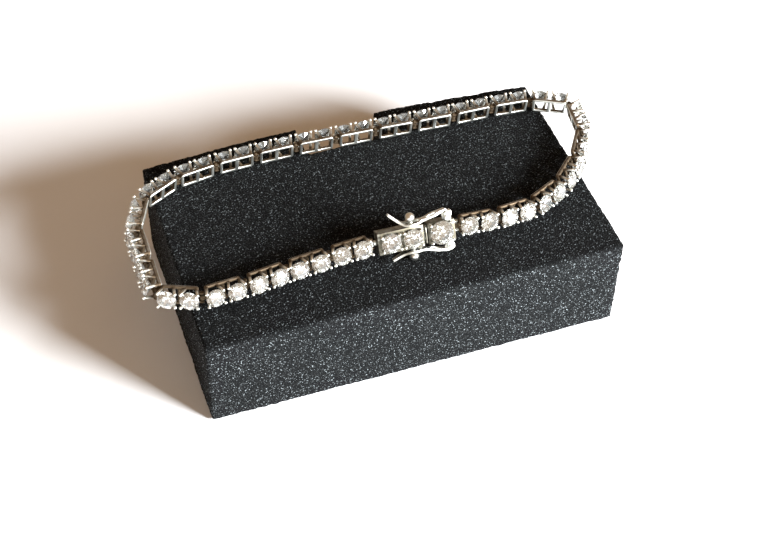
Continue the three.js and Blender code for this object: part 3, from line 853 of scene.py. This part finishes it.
def draw_catch(name, side, tail_z):
    """A sprung strip: cut flat, opened round the ball, bent to its line and curled at the hinge."""
    last = CATCH_STATIONS[-1]
    stations = list(CATCH_STATIONS)
    for row in TAIL_STATIONS:
        x = last["x"] + row["share"] * (TAIL_TIP_X - last["x"])
        rise = row["share"] ** 1.2 * (tail_z - last["z"])
        stations.append({"x": x, "half": row["half"], "eye": row["eye"], "z": last["z"] + rise})
    first_x = stations[0]["x"]
    outer, inner = 1.0, 0.5
    fresh()
    bpy.ops.mesh.primitive_plane_add(size=2, location=((first_x + TAIL_TIP_X) / 2, PIVOT["y"], 0))
    bpy.context.object.scale = ((TAIL_TIP_X - first_x) / 2, outer, 1)
    strip = settle(name)
    open_mesh(strip)
    for row in stations[1:-1]:
        slice_at(0, row["x"])
    for place in (PIVOT["y"] - inner, PIVOT["y"] + inner):
        slice_at(1, place)
    for low, high in EYE_SPANS:
        pick(strip, lambda c: low < c.x < high and abs(c.y - PIVOT["y"]) < inner)
        bpy.ops.mesh.delete(type="FACE")
    for row in stations:
        centre = (row["x"], PIVOT["y"], 0)
        for line, width in ((outer, row["half"]), (inner, row["eye"])):
            pick(strip, lambda c: abs(c.x - row["x"]) < 1e-3 and abs(abs(c.y - PIVOT["y"]) - line) < 1e-3
                 and abs(c.z) < 1e-6, "VERT")
            bpy.ops.transform.resize(value=(1, width / line, 1), center_override=centre)
            bpy.ops.transform.translate(value=(0, 0, row["z"]))
    pick(strip, lambda c: c.x < first_x + 1e-3, "EDGE")
    bpy.ops.mesh.spin(steps=16, angle=math.radians(-305), center=(PIVOT["x"], PIVOT["y"], PIVOT["z"]),
                      axis=(0, 1, 0))
    bpy.ops.mesh.select_all(action="SELECT")
    bpy.ops.mesh.remove_doubles(threshold=0.001)
    bpy.ops.mesh.normals_make_consistent(inside=False)
    close_mesh()
    finish_with(strip, "SOLIDIFY", "strip thickness", thickness=STRIP, offset=0)
    finish_with(strip, "BEVEL", "strip edges", width=0.1, segments=2, limit_method="ANGLE",
                angle_limit=math.radians(50))
    finish_with(strip, "SUBSURF", "even bends", levels=1, render_levels=1)
    bpy.ops.object.shade_smooth()
    if side < 0:
        strip.data.transform(Matrix.Scale(-1, 4, (0, 0, 1)))
        open_mesh(strip)
        bpy.ops.mesh.normals_make_consistent(inside=False)
        close_mesh()
    # Painted shade with tarnish: the catch is browner towards its middle near x = 1.5 and brighter towards
    # its ends.
    record_tarnish_and_shade(strip, lambda place: 0.75 - 0.5 * min(abs(place.x - 1.5) / 3, 1))
    return strip


# ---- foam block ----------------------------------------------------------------------------------------

FOAM = {"half_length": 32.95, "half_width": 19.7, "height": 17.0, "bow": 1.6}
NOTCH = {"left": -6.9, "right": 6.1, "depth": 4.7}
FOAM_GRID = 0.38
FOAM_CLEARANCE = 0.12
# Depth in millimetres of the top band that carries the painted top shade.
TOP_SHADE_BAND = 0.9
BOW_SLICES = 14


def cell_texture(name, size):
    texture = bpy.data.textures.new(name, "CLOUDS")
    texture.noise_scale = size
    return texture


def bow_back_edge(foam):
    """Slices the flat outline across and eases its back edge out, most in the middle."""
    half = FOAM["half_length"]
    back = FOAM["half_width"]
    for k in range(1, BOW_SLICES):
        slice_at(0, -half + 2 * half * k / BOW_SLICES)
    for k in range(BOW_SLICES + 1):
        x = -half + 2 * half * k / BOW_SLICES
        ease = FOAM["bow"] * (1 - (x / half) ** 2)
        pick(foam, lambda c: abs(c.x - x) < 0.01 and c.y > back - 0.01, "VERT")
        bpy.ops.transform.translate(value=(0, ease, 0))
    for x in (NOTCH["left"], NOTCH["right"]):
        slice_at(0, x)


def draw_foam():
    """Cut from a sheet: a notched outline raised to its height, with torn cut faces."""
    fresh()
    bpy.ops.mesh.primitive_plane_add(size=2, location=(0, 0, FOAM_CLEARANCE))
    bpy.context.object.scale = (FOAM["half_length"], FOAM["half_width"], 1)
    foam = settle("foam_rest")
    inner = FOAM["half_width"] - NOTCH["depth"]
    open_mesh(foam)
    bow_back_edge(foam)
    slice_at(1, inner)
    pick(foam, lambda c: NOTCH["left"] < c.x < NOTCH["right"] and c.y > inner)
    bpy.ops.mesh.delete(type="FACE")
    bpy.ops.mesh.select_all(action="SELECT")
    rise = FOAM["height"] - FOAM_CLEARANCE
    bpy.ops.mesh.extrude_region_move(TRANSFORM_OT_translate={"value": (0, 0, rise)})
    bpy.ops.mesh.select_all(action="SELECT")
    bpy.ops.mesh.normals_make_consistent(inside=False)
    close_mesh()
    finish_with(foam, "BEVEL", "cut edges", width=0.3, segments=2, limit_method="ANGLE",
                angle_limit=math.radians(40))
    finish_with(foam, "REMESH", "even grid", mode="VOXEL", voxel_size=FOAM_GRID)
    finish_with(foam, "DISPLACE", "uneven cut", texture=cell_texture("cut", 5.0),
                strength=0.2, mid_level=0.75, texture_coords="LOCAL")
    finish_with(foam, "DISPLACE", "torn cells", texture=cell_texture("cells", 0.5),
                strength=0.34, mid_level=0.72, texture_coords="LOCAL")
    bpy.ops.object.shade_smooth()
    # Painted shade: a share that rises to 1 over the top skin, read by the finish to darken the top face.
    record_share(foam, "painted_top_shade",
                 lambda place: (place.z - FOAM["height"] + TOP_SHADE_BAND) / TOP_SHADE_BAND * 2)
    set_in_place(foam, Matrix.Scale(MM, 4))
    return foam


# ---- putting the bracelet together ----------------------------------------------------------------


def finish_piece(piece, material, slot, body, *nodes):
    piece.data.materials.clear()
    piece.data.materials.append(material)
    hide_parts(*nodes)
    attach(piece, body)


def build_chain(brilliant, rng):
    link = draw_link()
    pair = [{"x": x, "radius": LINK_STONE["radius"]} for x in (-STONE_X, STONE_X)]
    for number in range(1, LINKS + 1):
        mark = link_name(number)
        axes = link_axes(number)
        metal = another(link, f"link_metal_{mark}")
        set_in_place(metal, axes)
        finish_piece(metal, LINK_SILVER, "silver", "root", f"link_{mark}")
        stones = seat_stones(f"link_stones_{mark}", brilliant, pair, LINK_STONE["girdle"], rng)
        set_in_place(stones, axes)
        finish_piece(stones, CLEAR_STONE, "clear_stone", "root", f"stone_pair_{mark}")
    bpy.data.objects.remove(link)


def build_clasp(brilliant, rng):
    axes = clasp_axes()
    parts = [
        (draw_box(), CLASP_SILVER, "silver", "root", "clasp_box"),
        (draw_end(), CLASP_SILVER, "silver", "root", "clasp_tongue_end"),
        (seat_stones("box_stones", brilliant, BOX_STONES, CLASP_GIRDLE, rng),
         CLEAR_STONE, "clear_stone", "root", "clasp_box_stones"),
        (seat_stones("tongue_end_stone", brilliant, END_STONES, CLASP_GIRDLE, rng),
         CLEAR_STONE, "clear_stone", "root", "clasp_end_stone"),
        (draw_catch("upper_catch_strip", 1, 4.2), CATCH_SILVER, "silver", "upper_catch",
         "upper_safety_catch"),
        (draw_catch("lower_catch_strip", -1, 3.1), CATCH_SILVER, "silver", "lower_catch",
         "lower_safety_catch"),
    ]
    for piece, material, slot, body, stood_for in parts:
        set_in_place(piece, axes)
        finish_piece(piece, material, slot, body, stood_for)


def build_foam():
    foam = draw_foam()
    finish_piece(foam, CHARCOAL_FOAM, "black_foam", "root", "foam_block")


# ---- table, light and camera --------------------------------------------------------------------


CAMERA = {"place": (-0.05749, -0.15917, 0.18544), "turn": -20.24, "tilt": 42.5, "roll": 1.46, "lens": 72.16}
STAGE_MIDDLE = (0, 0, 0.012)


def lay_table():
    fresh()
    bpy.ops.mesh.primitive_plane_add(size=3)
    table = settle("table_top")
    table.data.materials.append(PALE_TABLE)


def add_softbox(name, place, target, width, height, watts, colour):
    light = bpy.data.lights.new(name, "AREA")
    light.shape = "RECTANGLE"
    light.size = width
    light.size_y = height
    light.energy = watts
    light.color = colour
    lamp = bpy.data.objects.new(name, light)
    lamp.location = place
    lamp.rotation_euler = (Vector(target) - Vector(place)).to_track_quat("-Z", "Y").to_euler()
    bpy.context.scene.collection.objects.link(lamp)


def light_studio():
    world = bpy.data.worlds.new("pale studio")
    world.use_nodes = True
    sky = world.node_tree.nodes["Background"].inputs
    sky["Color"].default_value = (1.0, 0.65, 0.38, 1)
    sky["Strength"].default_value = 0.33
    bpy.context.scene.world = world
    add_softbox("window", (0.284, -0.323, 0.2), STAGE_MIDDLE, 0.17, 0.14, 11.0, (0.95, 0.98, 1.0))
    add_softbox("front card", (-0.16, -0.5, 0.12), STAGE_MIDDLE, 0.4, 0.2, 0.8, (0.9, 0.97, 1.0))


def aim_camera():
    camera = bpy.data.cameras.new("camera")
    camera.lens = CAMERA["lens"]
    camera.sensor_width = 36
    camera.clip_start = 0.01
    eye = bpy.data.objects.new("camera", camera)
    turn = Matrix.Rotation(math.radians(CAMERA["turn"]), 4, "Z")
    tilt = Matrix.Rotation(math.radians(CAMERA["tilt"]), 4, "X")
    roll = Matrix.Rotation(math.radians(CAMERA["roll"]), 4, "Z")
    eye.matrix_world = Matrix.Translation(CAMERA["place"]) @ turn @ tilt @ roll
    bpy.context.scene.collection.objects.link(eye)
    bpy.context.scene.camera = eye


def build():
    rng = random.Random(SEED)
    brilliant = cut_brilliant()
    build_chain(brilliant, rng)
    build_clasp(brilliant, rng)
    bpy.data.objects.remove(brilliant)
    build_foam()
    lay_table()
    light_studio()
    aim_camera()
    bpy.context.scene.view_settings.view_transform = "Standard"


build()
